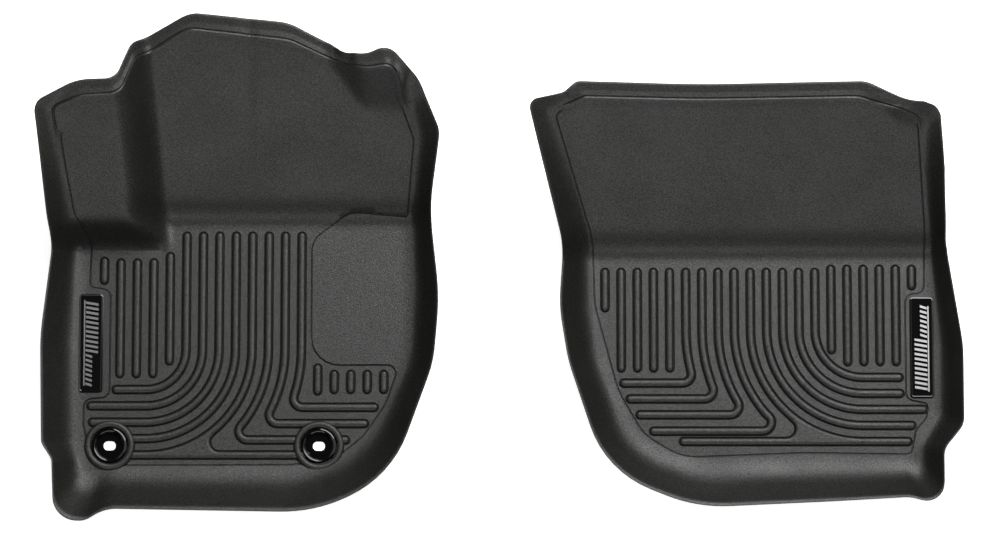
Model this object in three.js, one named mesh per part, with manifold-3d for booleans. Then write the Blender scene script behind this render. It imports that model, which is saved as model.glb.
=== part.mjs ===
// Moulded floor mat set for the front row of a car: a driver's liner and a passenger's liner.
// Millimetres. +X runs across the car, +Y towards the toe boards and +Z up. The origin lies on the
// carpet, in the middle of the set's footprint.

import * as THREE from 'three';
import { mergeVertices } from 'three/addons/utils/BufferGeometryUtils.js';
import { ConvexHull } from 'three/addons/math/ConvexHull.js';
import Module from 'manifold-3d';

const wasm = await Module();
wasm.setup();

// ---- Driving dimensions ----------------------------------------------------------------------

const SHEET = 4.5; // the moulded sheet with the carpet nibs on its underside
const FLOOR = SHEET; // top of the flat floor
const GAP = 0.3; // clearance left between touching pieces

const RIB_WIDTH = 9;
const RIB_RISE = 2.1; // how far a rib stands above the floor's border
const RIB_SINK = 1; // how far a rib's solid reaches into the sheet before it is joined

const LATTICE = 20; // spacing of the points inside a liner
const FLOOR_STRIDE = 3; // the flat floor keeps every third point of that lattice
const EDGE_LENGTH = 34; // longest step along a rim
const EDGE_MARGIN = 13; // clear strip between the lattice and the foot of the wall
const ARC_STEPS = 3; // steps round each corner of an outline
const WALL_STATIONS = [1, 0.86, 0.55, 0.28, 0]; // rim to foot

const COLLAR = { inner: 23, outer: 31.6, rise: 4.2 }; // raised ring moulded round each anchor hole
const ANCHOR_HOLE = 18.3; // radius of the hole through the liner
const COUNTERBORE = { radius: 24.6, depth: 2.2 }; // pocket under the sheet for the lock ring
const GROMMET = { barrel: 18, flange: 22.2, bore: 16.6, lip: 17.6, base: 0.6, seat: 2.2, crest: 8.2 };
const SLOT = { length: 15.2, width: 11.4, radius: 5.3 }; // opening for the car's floor hook
const LOCK_RING = { inner: 18.4, outer: 24, base: 0.5, top: 1.9 };
const ROUND_SEGMENTS = 24;

const PLATE = { width: 30, radius: 4.4, thickness: 1.6 };
const EMBLEM = { thickness: 0.6, rule: 1.6, barWidth: 3, barStep: 6, lean: 3 };

// One row for each corner of a liner's outline, clockwise from the far left. The rim and the foot of
// the wall turn together: rim [x, y, radius], foot [x, y, radius] and the wall's height above its foot.
const DRIVER_CORNERS = [
  { rim: [-574, 196, 18], foot: [-551, 192, 10], rise: 9 },
  { rim: [-521, 224, 70], foot: [-516, 205, 60], rise: 5 },
  { rim: [-473, 225, 20], foot: [-468, 207, 20], rise: 5 },
  { rim: [-454, 272, 26], foot: [-448, 255, 24], rise: 5 },
  { rim: [-382, 309, 44], foot: [-386, 290, 40], rise: 5 },
  { rim: [-261, 298, 70], foot: [-259, 277, 70], rise: 5 },
  { rim: [-208, 273, 30], foot: [-205, 254, 40], rise: 5 },
  { rim: [-194, 262, 30], foot: [-190, 247.5, 40], rise: 5 },
  { rim: [-166, 258, 40], foot: [-164, 242.5, 40], rise: 5 },
  { rim: [-137, 270, 24], foot: [-128, 247, 17], rise: 6 },
  { rim: [-101, 236, 62], foot: [-120, 211, 40], rise: 10 },
  { rim: [-74, 172, 28], foot: [-102, 170, 25], rise: 22 },
  { rim: [-87, 83, 225], foot: [-111, 89, 250], rise: 32 },
  { rim: [-75, -27, 312], foot: [-107, -13, 375], rise: 44 },
  { rim: [-82, -111, 150], foot: [-111, -99, 150], rise: 45 },
  { rim: [-134, -254, 139], foot: [-161, -210, 112], rise: 42 },
  { rim: [-229, -298, 188], foot: [-242, -240, 125], rise: 40 },
  { rim: [-487, -293.5, 50], foot: [-482, -241, 30], rise: 40 },
  { rim: [-512, -308.5, 24], foot: [-498, -250, 16], rise: 40 },
  { rim: [-551, -308.5, 30], foot: [-514, -252, 14], rise: 42 },
  { rim: [-554, -232, 18], foot: [-523, -226, 16], rise: 44 },
  { rim: [-567, -212, 16], foot: [-527, -203, 20], rise: 45 },
  { rim: [-570, -77, 312], foot: [-530, -70, 250], rise: 45 },
  { rim: [-557, 36, 125], foot: [-527, 41, 100], rise: 42 },
];

const PASSENGER_CORNERS = [
  { rim: [34, 203, 11], foot: [64, 193, 10], rise: 16 },
  { rim: [78, 214, 19], foot: [89, 203, 18], rise: 8 },
  { rim: [94, 228, 14], foot: [105, 209, 13], rise: 5 },
  { rim: [247, 224, 1875], foot: [247, 206, 1875], rise: 5 },
  { rim: [452, 228, 38], foot: [442, 209, 31], rise: 5 },
  { rim: [501, 205, 75], foot: [477, 200, 75], rise: 8 },
  { rim: [544, 198, 18], foot: [520, 185, 15], rise: 12 },
  { rim: [550, 127, 125], foot: [526, 132, 100], rise: 26 },
  { rim: [554, 36, 75], foot: [537, 37, 75], rise: 40 },
  { rim: [574, -90, 188], foot: [548, -83, 188], rise: 45 },
  { rim: [574, -189, 12], foot: [547, -170, 15], rise: 44 },
  { rim: [549, -219, 15], foot: [523, -210, 18], rise: 42 },
  { rim: [549, -290, 15], foot: [523, -245, 12], rise: 40 },
  { rim: [506, -279, 28], foot: [500, -236, 20], rise: 40 },
  { rim: [413, -284, 375], foot: [397, -235, 375], rise: 38 },
  { rim: [243, -292, 188], foot: [245, -237, 138], rise: 38 },
  { rim: [130, -247, 129], foot: [165, -211, 92], rise: 40 },
  { rim: [84, -109, 188], foot: [121, -99, 150], rise: 45 },
  { rim: [73, -40, 188], foot: [114, -32, 188], rise: 44 },
  { rim: [78, 33, 100], foot: [112, 48, 150], rise: 40 },
];

// Rib layout. Columns stand a pitch apart. A short column is a straight rib with a far and a near end.
// A swept column runs down, round the shared centre and out sideways to its tail. A returned column
// leaves that arc at a rounded corner and runs back the other way along its own line.
const DRIVER_RIBS = {
  first: -494.2, pitch: 20.55, sweep: -1, centre: [-441.1, -89], far: 60,
  short: [
    { columns: [0], far: 28, near: -5 },
    { columns: [1, 2, 3], far: 26, near: -123 },
    { columns: [4], far: 34, near: -107 },
    { columns: [13], far: -107, near: -145 },
    { columns: [14, 15, 16, 17], far: -115, near: -143 },
  ],
  swept: [
    { column: 5, tail: -478 }, { column: 6, tail: -509 }, { column: 7, tail: -507 },
    { column: 8, tail: -470 }, { column: 9, tail: -470 },
  ],
  returned: [
    { column: 10, line: -202, tail: -192 }, { column: 11, line: -181.5, tail: -168.5 },
    { column: 12, line: -161, tail: -156.5 },
  ],
  wedge: { column: 9, tail: -240 },
};

const PASSENGER_RIBS = {
  first: 131, pitch: 20.15, sweep: 1, centre: [451.3, -65], far: 14,
  short: [
    { columns: [0], far: 14, near: -40 },
    { columns: [1, 2, 3, 4], far: 14, near: -116 },
    { columns: [14], far: 18, near: -93 },
    { columns: [15, 16, 17, 18], far: 18, near: -108 },
    { columns: [19], far: 18, near: -12 },
  ],
  swept: [
    { column: 9, tail: 507 }, { column: 10, tail: 512 }, { column: 11, tail: 527 },
    { column: 12, tail: 498 }, { column: 13, tail: 497 },
  ],
  returned: [
    { column: 5, line: -130.5, tail: 154 }, { column: 6, line: -150.5, tail: 162 },
    { column: 7, line: -170.5, tail: 174 }, { column: 8, line: -191, tail: 191 },
  ],
  wedge: { column: 9, tail: 228 },
};

const RETURN_RADIUS = 11; // rounding of a returned rib's corner
const WEDGE_ANGLE = 0.86; // where the filled wedge leaves its swept rib, in radians below level

const ANCHORS = { left: [-485, -209], right: [-225, -209.5] };
const DRIVER_BADGE = { centre: [-509.7, -80.5], length: 124, side: 1 };
const PASSENGER_BADGE = { centre: [525.5, -86], length: 127, side: -1 };

// ---- Shape of the moulded base ---------------------------------------------------------------

/** A ramp that is 0 below zero and rises 1:1 above it, with its knee rounded over +-knee. */
function ease(value, knee) {
  if (value <= -knee) return 0;
  if (value >= knee) return value;
  return (value + knee) ** 2 / (4 * knee);
}

const higher = (a, b, knee) => b + ease(a - b, knee);
const lower = (a, b, knee) => a - ease(a - b, knee);

/** Height of a toe board that leaves the floor at 45 degrees near `start` and eases to 33 degrees. */
const toeBoard = (y, start) => FLOOR + ease(y - start, 10) - 0.36 * ease(y - start - 22, 8);

/** The driver's base: toe board, the footrest at the far left and the raised far right corner. */
function driverBase(x, y) {
  const board = toeBoard(y, 77);
  const side = board + 1.65 * (-417.5 - 0.086 * (y - 54) - x);
  const face = FLOOR + 52.5 + 0.67 * (y - 61);
  const riser = FLOOR + 2.7 * (y - 42);
  const footrest = lower(lower(face, side, 20), riser, 16);
  const slope = lower(0.62 * (y - 202), 0.8 * (x + 232 - 0.75 * (285 - y)), 8);
  const ear = ease(lower(24, slope, 8), 5);
  return lower(higher(footrest, board, 5) + ear, FLOOR + 167.5, 10);
}

/** The passenger's base: toe board with a small raised corner at the far right. */
function passengerBase(x, y) {
  const slope = lower(0.6 * (y - 180), 0.6 * (x - 468 - 0.8 * (210 - y)), 6);
  return toeBoard(y, 35) + ease(lower(14, slope, 6), 5);
}

/** Share of the wall's height at t, 0 at the foot and 1 at the rim: a fillet, a slope and a flat lip. */
function wallProfile(t) {
  const raw = (s) => ease(s - 0.2, 0.2) - 0.9 * ease(s - 0.88, 0.08);
  return raw(t) / raw(1);
}

// ---- Outlines ----------------------------------------------------------------------------------

const point = ([x, y]) => new THREE.Vector2(x, y);

/** The arc that rounds a corner between two neighbours, as steps + 1 points. */
function fillet(before, corner, after, radius, steps) {
  const toBefore = before.clone().sub(corner).normalize();
  const toAfter = after.clone().sub(corner).normalize();
  const half = Math.acos(THREE.MathUtils.clamp(toBefore.dot(toAfter), -1, 1)) / 2;
  const middle = toBefore.clone().add(toAfter).setLength(radius / Math.sin(half)).add(corner);
  const run = radius / Math.tan(half);
  const from = toBefore.multiplyScalar(run).add(corner).sub(middle).angle();
  const to = toAfter.multiplyScalar(run).add(corner).sub(middle).angle();
  const turn = THREE.MathUtils.euclideanModulo(to - from + Math.PI, 2 * Math.PI) - Math.PI;
  return Array.from({ length: steps + 1 }, (_, i) => {
    const angle = from + (turn * i) / steps;
    return new THREE.Vector2(Math.cos(angle), Math.sin(angle)).multiplyScalar(radius).add(middle);
  });
}

/** A closed outline with rounded corners and the given number of steps along each straight. */
function roundedLoop(corners, edgeSteps) {
  const arcs = corners.map((corner, i) => {
    const before = corners.at(i - 1);
    const after = corners[(i + 1) % corners.length];
    return fillet(point(before), point(corner), point(after), corner[2], ARC_STEPS);
  });
  return arcs.flatMap((arc, i) => {
    const next = arcs[(i + 1) % arcs.length][0];
    const straight = Array.from({ length: edgeSteps[i] - 1 }, (_, k) => (
      arc.at(-1).clone().lerp(next, (k + 1) / edgeSteps[i])));
    return [...arc, ...straight];
  });
}

/** Wall heights along a rim: each corner's own at the middle of its arc, eased from one to the next. */
function wallRises(rim, corners, edgeSteps) {
  const travel = [0];
  rim.forEach((spot, i) => {
    travel.push(travel[i] + spot.distanceTo(rim[(i + 1) % rim.length]));
  });
  const lap = travel.at(-1);
  let start = 0;
  const keys = corners.map((_, i) => {
    const key = (travel[start + 1] + travel[start + 2]) / 2;
    start += ARC_STEPS + edgeSteps[i];
    return key;
  });
  return rim.map((_, i) => {
    const next = keys.findIndex((key) => key > travel[i]);
    const after = next === -1 ? 0 : next;
    const before = (after + keys.length - 1) % keys.length;
    const span = (keys[after] - keys[before] + lap) % lap;
    const share = ((travel[i] - keys[before] + lap) % lap) / span;
    const eased = 0.5 - 0.5 * Math.cos(Math.PI * share);
    return THREE.MathUtils.lerp(corners[before].rise, corners[after].rise, eased);
  });
}

/** The rim, the foot and the wall height all round a liner, one entry for each station. */
function wallStations(corners) {
  const edgeSteps = corners.map((corner, i) => {
    const next = corners[(i + 1) % corners.length];
    return Math.max(1, Math.round(point(corner.rim).distanceTo(point(next.rim)) / EDGE_LENGTH) - 1);
  });
  const rim = roundedLoop(corners.map((corner) => corner.rim), edgeSteps);
  const foot = roundedLoop(corners.map((corner) => corner.foot), edgeSteps);
  return { rim, foot, rise: wallRises(rim, corners, edgeSteps) };
}

/** Whether a plan point lies inside a closed outline. */
function isInside(loop, { x, y }) {
  let inside = false;
  loop.forEach((a, i) => {
    const b = loop.at(i - 1);
    const crosses = (a.y > y) !== (b.y > y);
    if (crosses && x < ((b.x - a.x) * (y - a.y)) / (b.y - a.y) + a.x) inside = !inside;
  });
  return inside;
}

/** Distance from a plan point to the nearest side of an outline. */
function distanceToLoop(loop, at) {
  const spot = new THREE.Vector3(at.x, at.y, 0);
  const nearest = new THREE.Vector3();
  const side = new THREE.Line3();
  return Math.min(...loop.map((a, i) => {
    const b = loop.at(i - 1);
    side.start.set(a.x, a.y, 0);
    side.end.set(b.x, b.y, 0);
    return side.closestPointToPoint(spot, true, nearest).distanceTo(spot);
  }));
}

// ---- Liner shells ------------------------------------------------------------------------------

/** Staggered plan points inside the foot of the wall, thinned out where the floor is flat. */
function latticePoints(foot, base) {
  const box = new THREE.Box2().setFromPoints(foot);
  const isFlat = (x, y) => base(x, y + FLOOR_STRIDE * LATTICE) - FLOOR < 0.01
    && base(x - LATTICE, y) - FLOOR < 0.01;
  const points = [];
  for (let row = 1; box.min.y + row * LATTICE < box.max.y; row += 1) {
    const y = box.min.y + row * LATTICE;
    const stagger = (row % 2) * 0.5 * LATTICE;
    for (let column = 0; box.min.x + column * LATTICE < box.max.x; column += 1) {
      const spot = new THREE.Vector2(box.min.x + column * LATTICE + stagger, y);
      const kept = !isFlat(spot.x, spot.y) || (row % FLOOR_STRIDE === 0 && column % FLOOR_STRIDE === 0);
      if (kept && isInside(foot, spot) && distanceToLoop(foot, spot) > EDGE_MARGIN) points.push(spot);
    }
  }
  return points;
}

/** Delaunay triangles of plan points, facing up: the hull's lower faces once they lie in a bowl. */
function planTriangles(points) {
  const bowl = 1000;
  const upright = -0.1; // faces steeper than this join points that lie in line
  const lifted = points.map(({ x, y }) => new THREE.Vector3(x, y, (x * x + y * y) / bowl));
  const order = new Map(lifted.map((vertex, i) => [vertex, i]));
  const hull = new ConvexHull().setFromPoints(lifted);
  return hull.faces.filter(({ normal }) => normal.z < upright).map(({ edge }) => (
    [edge.next.next, edge.next, edge].map((side) => order.get(side.head().point))));
}

/** A liner's closed sheet: walls and floor as one skin, and its copy one thickness below. */
function linerShell(corners, base) {
  const { rim, foot, rise } = wallStations(corners);
  const stations = rim.length;
  const top = WALL_STATIONS.flatMap((t) => rim.map((edge, i) => {
    const spot = foot[i].clone().lerp(edge, t);
    return new THREE.Vector3(spot.x, spot.y, base(foot[i].x, foot[i].y) + rise[i] * wallProfile(t));
  }));
  const inner = [...foot, ...latticePoints(foot, base)];
  const footStart = top.length - stations;
  inner.slice(stations).forEach(({ x, y }) => top.push(new THREE.Vector3(x, y, base(x, y))));

  const triangles = [];
  for (let ring = 0; ring < WALL_STATIONS.length - 1; ring += 1) {
    for (let i = 0; i < stations; i += 1) {
      const next = (i + 1) % stations;
      const [a, b] = [ring * stations + i, ring * stations + next];
      triangles.push([a, b + stations, b], [a, a + stations, b + stations]);
    }
  }
  planTriangles(inner).forEach((corner) => {
    const middle = corner.reduce((sum, k) => sum.add(inner[k]), new THREE.Vector2()).divideScalar(3);
    if (isInside(foot, middle)) triangles.push(corner.map((k) => k + footStart));
  });

  const skin = new THREE.BufferGeometry().setFromPoints(top);
  skin.setIndex(triangles.flat());
  skin.computeVertexNormals();
  const normals = skin.attributes.normal;
  const under = top.map((vertex, i) => {
    const isRim = i < stations;
    const up = isRim ? new THREE.Vector3(0, 0, 1) : new THREE.Vector3().fromBufferAttribute(normals, i);
    return vertex.clone().addScaledVector(up, -SHEET);
  });

  const count = top.length;
  const faces = triangles.flatMap(([a, b, c]) => [a, b, c, count + a, count + c, count + b]);
  for (let i = 0; i < stations; i += 1) {
    const next = (i + 1) % stations;
    faces.push(i, next, count + next, i, count + next, count + i);
  }
  const shell = new THREE.BufferGeometry().setFromPoints([...top, ...under]);
  shell.setIndex(faces);
  return shell;
}

// ---- Joining and cutting -----------------------------------------------------------------------

function toSolid(geometry) {
  geometry.deleteAttribute('normal');
  geometry.deleteAttribute('uv');
  const merged = mergeVertices(geometry, 1e-3);
  return new wasm.Manifold(new wasm.Mesh({
    numProp: 3,
    vertProperties: new Float32Array(merged.attributes.position.array),
    triVerts: new Uint32Array(merged.index.array),
  }));
}

function toGeometry(solid) {
  const mesh = solid.getMesh();
  const geometry = new THREE.BufferGeometry();
  geometry.setAttribute('position', new THREE.BufferAttribute(mesh.vertProperties, 3));
  geometry.setIndex(new THREE.BufferAttribute(mesh.triVerts, 1));
  return geometry;
}

/** A plan shape raised from one height to another. */
function slab(shape, bottom, top) {
  const geometry = new THREE.ExtrudeGeometry(shape, { depth: top - bottom, bevelEnabled: false });
  return geometry.translate(0, 0, bottom);
}

/** A turned piece about a vertical axis at a plan point: the profile lists [radius, height]. */
function turned(profile, [x, y]) {
  const closed = profile[0][0] > 0 ? [...profile, profile[0]] : profile;
  const geometry = new THREE.LatheGeometry(closed.map(point), ROUND_SEGMENTS);
  return geometry.rotateX(Math.PI / 2).translate(x, y, 0);
}

const disc = (radius, bottom, top, centre) => turned(
  [[0, bottom], [radius, bottom], [radius, top], [0, top]], centre);

// ---- Ribs --------------------------------------------------------------------------------------

/** Plan shape of a bar with round ends along a path of points. */
function barShape(path, width) {
  const half = width / 2;
  const side = (i, sign) => {
    const along = path[Math.min(i + 1, path.length - 1)].clone().sub(path[Math.max(i - 1, 0)]).normalize();
    return new THREE.Vector2(-along.y, along.x).multiplyScalar(sign * half).add(path[i]);
  };
  const cap = (end, before) => {
    const out = end.clone().sub(before).normalize();
    const across = new THREE.Vector2(-out.y, out.x);
    return [-0.5, 0.5].map((share) => end.clone()
      .addScaledVector(out, half * Math.cos(Math.asin(share)))
      .addScaledVector(across, half * share));
  };
  return new THREE.Shape([
    ...path.map((_, i) => side(i, -1)),
    ...cap(path.at(-1), path.at(-2)),
    ...path.map((_, i) => side(i, 1)).reverse(),
    ...cap(path[0], path[1]),
  ]);
}

/** Points of a column's arc round the layout's centre, between two angles below level. */
function columnArc({ centre, sweep }, radius, from, to, steps) {
  return Array.from({ length: steps + 1 }, (_, i) => {
    const angle = THREE.MathUtils.lerp(from, to, i / steps);
    return new THREE.Vector2(
      centre[0] - sweep * radius * Math.cos(angle),
      centre[1] - radius * Math.sin(angle),
    );
  });
}

const columnX = (layout, column) => layout.first + column * layout.pitch;
const columnRadius = (layout, column) => Math.abs(columnX(layout, column) - layout.centre[0]);

function shortPath(layout, column, far, near) {
  const x = columnX(layout, column);
  const cap = RIB_WIDTH / 2;
  return [point([x, far - cap]), point([x, near + cap])];
}

function sweptPath(layout, { column, tail }) {
  const radius = columnRadius(layout, column);
  const steps = Math.ceil(radius / 16);
  return [
    point([columnX(layout, column), layout.far - RIB_WIDTH / 2]),
    ...columnArc(layout, radius, 0, Math.PI / 2, steps),
    point([tail, layout.centre[1] - radius]),
  ];
}

/** A returned column gives up its arc for a rounded corner where it meets the line back. */
function returnedPath(layout, { column, line, tail }) {
  const radius = columnRadius(layout, column);
  const meet = Math.asin((layout.centre[1] - line) / radius);
  const run = RETURN_RADIUS / Math.tan(Math.PI / 4 - meet / 2);
  const leave = meet - (run + GAP) / radius;
  const [corner] = columnArc(layout, radius, meet, meet, 1);
  const arc = columnArc(layout, radius, 0, leave, 5);
  const end = point([tail, line]);
  return [
    point([columnX(layout, column), layout.far - RIB_WIDTH / 2]),
    ...arc,
    ...fillet(arc.at(-1), corner, end, RETURN_RADIUS, 4).slice(1),
    end,
  ];
}

/** The filled wedge between the central swept rib and the line that returns from it. */
function wedgeShape(layout) {
  const { column, tail } = layout.wedge;
  const radius = columnRadius(layout, column);
  const line = layout.centre[1] - radius;
  const arc = columnArc(layout, radius, WEDGE_ANGLE, Math.PI / 2, 5);
  const corner = point([arc[0].x + layout.sweep * 34, line]);
  const back = fillet(arc[0], corner, point([tail, line]), 16, 5);
  const lower = line - RIB_WIDTH / 2;
  const upper = line + RIB_WIDTH / 2;
  return new THREE.Shape([
    ...arc, point([arc.at(-1).x, lower]), point([tail, lower]), point([tail, upper]),
    ...back.slice(1).reverse(),
  ]);
}

/** All the raised ribs of a liner, as plan shapes. */
function ribShapes(layout) {
  const paths = [
    ...layout.short.flatMap(({ columns, far, near }) => (
      columns.map((column) => shortPath(layout, column, far, near)))),
    ...layout.swept.map((row) => sweptPath(layout, row)),
    ...layout.returned.map((row) => returnedPath(layout, row)),
  ];
  return [...paths.map((path) => barShape(path, RIB_WIDTH)), wedgeShape(layout)];
}

// ---- Liners ------------------------------------------------------------------------------------

/** A liner's sheet with its ribs; each anchor adds a raised collar, a hole and a counterbore. */
function liner(corners, base, layout, anchors) {
  let ribs = ribShapes(layout)
    .map((shape) => toSolid(slab(shape, FLOOR - RIB_SINK, FLOOR + RIB_RISE)))
    .reduce((all, rib) => all.add(rib));
  anchors.forEach((centre) => {
    ribs = ribs.subtract(toSolid(disc(COLLAR.inner, 0, FLOOR + COLLAR.rise, centre)));
  });
  let body = toSolid(linerShell(corners, base)).add(ribs);
  anchors.forEach((centre) => {
    const { inner, outer, rise } = COLLAR;
    const width = outer - inner;
    body = body
      .add(toSolid(turned([
        [inner, FLOOR - RIB_SINK], [outer, FLOOR - RIB_SINK], [outer, FLOOR + 0.4 * rise],
        [inner + 0.7 * width, FLOOR + rise], [inner + 0.3 * width, FLOOR + rise],
        [inner, FLOOR + 0.4 * rise],
      ], centre)))
      .subtract(toSolid(disc(ANCHOR_HOLE, -SHEET, 2 * SHEET, centre)))
      .subtract(toSolid(disc(COUNTERBORE.radius, -SHEET, COUNTERBORE.depth, centre)));
  });
  return toGeometry(body);
}

// ---- Grommets ----------------------------------------------------------------------------------

/** A rectangle with rounded corners, centred on a plan point. */
function roundedRectangle(length, width, radius, [x, y]) {
  const corners = [[1, -1], [1, 1], [-1, 1], [-1, -1]]
    .map(([sx, sy]) => [x + (sx * length) / 2, y + (sy * width) / 2, radius]);
  return new THREE.Shape(roundedLoop(corners, [1, 1, 1, 1]));
}

/** The cup of a retention grommet: a flanged barrel whose floor has the slot for the car's hook. */
function grommetCup(centre) {
  const { barrel, flange, bore, lip, base, seat, crest } = GROMMET;
  const rest = FLOOR + GAP;
  const cup = toSolid(turned([
    [0, base], [barrel, base], [barrel, rest], [flange, rest], [flange, rest + 1.6],
    [(flange + lip) / 2, crest], [lip, crest - 1], [bore, seat], [0, seat],
  ], centre));
  const slot = roundedRectangle(SLOT.length, SLOT.width, SLOT.radius, centre);
  return toGeometry(cup.subtract(toSolid(slab(slot, -SHEET, SHEET))));
}

/** The ring that snaps on from below and holds the cup in the liner. */
function lockRing(centre) {
  const { inner, outer, base, top } = LOCK_RING;
  return turned([[inner, base], [outer, base], [outer, top], [inner, top]], centre);
}

// ---- Badges ------------------------------------------------------------------------------------

function badgePlate({ centre, length }) {
  const shape = roundedRectangle(PLATE.width, length, PLATE.radius, centre);
  return slab(shape, FLOOR + GAP, FLOOR + GAP + PLATE.thickness);
}

/** A long rule with leaning bars on it, tall along one half and lower along the other. */
function badgeEmblem({ centre, length, side }) {
  const [x, y] = centre;
  const start = -0.44 * length;
  const bars = Math.floor((0.88 * length) / EMBLEM.barStep);
  const foot = -0.3 * PLATE.width;
  const outline = [[foot, start], [foot + EMBLEM.rule, start]];
  for (let i = 0; i < bars; i += 1) {
    const near = start + (i + 0.5) * EMBLEM.barStep - EMBLEM.barWidth / 2;
    const tall = foot + (i < 0.6 * bars ? 0.6 : 0.36) * PLATE.width;
    outline.push(
      [foot + EMBLEM.rule, near], [tall, near + EMBLEM.lean],
      [tall, near + EMBLEM.lean + EMBLEM.barWidth], [foot + EMBLEM.rule, near + EMBLEM.barWidth],
    );
  }
  const end = start + bars * EMBLEM.barStep;
  outline.push([foot + EMBLEM.rule, end], [foot, end]);
  const shape = new THREE.Shape(outline.map(([across, along]) => (
    point([x + side * across, y - side * along]))));
  const bottom = FLOOR + PLATE.thickness + 2 * GAP;
  return slab(shape, bottom, bottom + EMBLEM.thickness);
}

// ---- Assembly ----------------------------------------------------------------------------------

const material = (color, roughness, metalness = 0) => (
  () => new THREE.MeshStandardMaterial({ color, roughness, metalness }));
const grainedPlastic = material(0x3b3a38, 0.7);
const smoothPlastic = material(0x1c1c1c, 0.45);
const glossPlastic = material(0x0a0a0a, 0.15);
const silverFoil = material(0xc6c6c6, 0.3, 1);

function piece(name, geometry, makeMaterial) {
  const mesh = new THREE.Mesh(geometry, makeMaterial());
  mesh.name = name;
  return mesh;
}

function badge(owner, place) {
  return [
    piece(`${owner}_badge_plate`, badgePlate(place), glossPlastic),
    piece(`${owner}_badge_emblem`, badgeEmblem(place), silverFoil),
  ];
}

const driverSheet = liner(DRIVER_CORNERS, driverBase, DRIVER_RIBS, Object.values(ANCHORS));
const passengerSheet = liner(PASSENGER_CORNERS, passengerBase, PASSENGER_RIBS, []);

const driverSide = new THREE.Group();
driverSide.add(
  piece('driver_liner', driverSheet, grainedPlastic),
  ...badge('driver', DRIVER_BADGE),
);
Object.entries(ANCHORS).forEach(([side, centre]) => driverSide.add(
  piece(`${side}_grommet_cup`, grommetCup(centre), smoothPlastic),
  piece(`${side}_grommet_lock_ring`, lockRing(centre), smoothPlastic),
));

const passengerSide = new THREE.Group();
passengerSide.add(
  piece('passenger_liner', passengerSheet, grainedPlastic),
  ...badge('passenger', PASSENGER_BADGE),
);

const matSet = new THREE.Group();
matSet.add(driverSide, passengerSide);

export default matSet;
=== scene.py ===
"""A pair of moulded floor liners for the front row of a car, laid side by side on the floor.

Shapes are worked out in millimetres: +X runs across the car, +Y towards the toe boards and +Z up.
"""

import bmesh
import bpy
import numpy as np
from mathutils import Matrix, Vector, geometry


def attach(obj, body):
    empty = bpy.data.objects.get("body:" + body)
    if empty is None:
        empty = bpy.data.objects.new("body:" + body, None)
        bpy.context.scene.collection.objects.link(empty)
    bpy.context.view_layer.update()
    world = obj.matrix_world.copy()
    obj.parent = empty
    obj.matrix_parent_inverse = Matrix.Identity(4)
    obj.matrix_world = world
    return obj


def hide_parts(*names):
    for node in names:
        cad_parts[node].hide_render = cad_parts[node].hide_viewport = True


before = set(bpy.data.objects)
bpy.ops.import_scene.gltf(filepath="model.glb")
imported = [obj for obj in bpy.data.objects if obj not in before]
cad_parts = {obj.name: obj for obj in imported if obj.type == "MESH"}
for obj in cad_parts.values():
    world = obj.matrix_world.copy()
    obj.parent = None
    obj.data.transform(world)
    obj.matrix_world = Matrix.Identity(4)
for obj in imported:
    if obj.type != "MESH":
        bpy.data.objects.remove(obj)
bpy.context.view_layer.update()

# ---- Driver's and passenger's liners: the moulded sheets -----------------------------------------
# Each liner is one injection-moulded sheet of black TPO, 3 mm thick. A flat floor rises into a toe
# board at the far side, walls turn up all round it, and inside a thin border line the panel that
# carries the ribs lies a little lower. The driver's sheet also climbs over the car's footrest.

FLOOR = 4.5  # top of the border above the carpet
STEP = 1.3  # how far the ribbed panel lies below the border
# Section across the border line: distance inward, and depth. A fine groove lies on the line itself.
BORDER_SECTION = [(-1.0, 0.0), (0.0, 0.0), (0.9, 2.4), (1.3, 2.4), (2.2, STEP)]
RIB_RADIUS = 4.5  # half the width of a rib
GROOVE = {"bottom": 0.15, "edge": 1.8, "depth": 1.4}  # beside each rib, measured from its side
CREASE = 1.6  # width of the crease in front of a flange
SWELL = {"rise": 1.6, "reach": 13.0}  # the floor's soft turn up to the foot of a tall wall
TALL = 12.0  # a wall lower than this is a flange
LIP = 0.9  # how far inside the rim the lip starts to turn over
LIP_TURN = np.array([(0.45, -0.3), (0.65, -1.0)])  # the turned lip's steps: outward, up
SKIN = 3.0  # thickness of the sheet
LATTICE = 6.0  # spacing of the points inside a sheet
STATION_STEP = 5.0  # longest step along a rim
ARC_STEPS = 8  # along the arc of each corner
ANCHOR_HOLE = 18.3  # radius of the holes for the grommets
ANCHORS = {"left": (-485.0, -209.0), "right": (-225.0, -209.5)}

# Corners of the outlines, clockwise from the far left: rim x, y, radius, foot x, y, radius, rise.
DRIVER_CORNERS = np.array([
    (-574, 196, 18, -551, 192, 10, 9), (-521, 224, 70, -516, 205, 60, 5),
    (-473, 225, 20, -468, 207, 20, 5), (-454, 272, 26, -448, 255, 24, 5),
    (-382, 309, 44, -386, 290, 40, 5), (-261, 298, 70, -259, 277, 70, 5),
    (-208, 273, 30, -205, 254, 40, 5), (-194, 262, 30, -190, 247.5, 40, 5),
    (-166, 258, 40, -164, 242.5, 40, 5), (-137, 270, 24, -128, 247, 17, 6),
    (-101, 236, 62, -120, 211, 40, 10), (-74, 172, 28, -102, 170, 25, 22),
    (-87, 83, 225, -111, 89, 250, 32), (-75, -27, 312, -107, -13, 375, 44),
    (-82, -111, 150, -111, -99, 150, 45), (-134, -254, 139, -161, -210, 112, 42),
    (-229, -298, 188, -242, -240, 125, 40), (-487, -293.5, 50, -482, -241, 30, 40),
    (-512, -308.5, 24, -498, -250, 16, 40), (-551, -308.5, 30, -514, -252, 14, 42),
    (-554, -232, 18, -523, -226, 16, 44), (-567, -212, 16, -527, -203, 20, 45),
    (-570, -77, 312, -530, -70, 250, 45), (-557, 36, 125, -527, 41, 100, 42),
], float)
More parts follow.
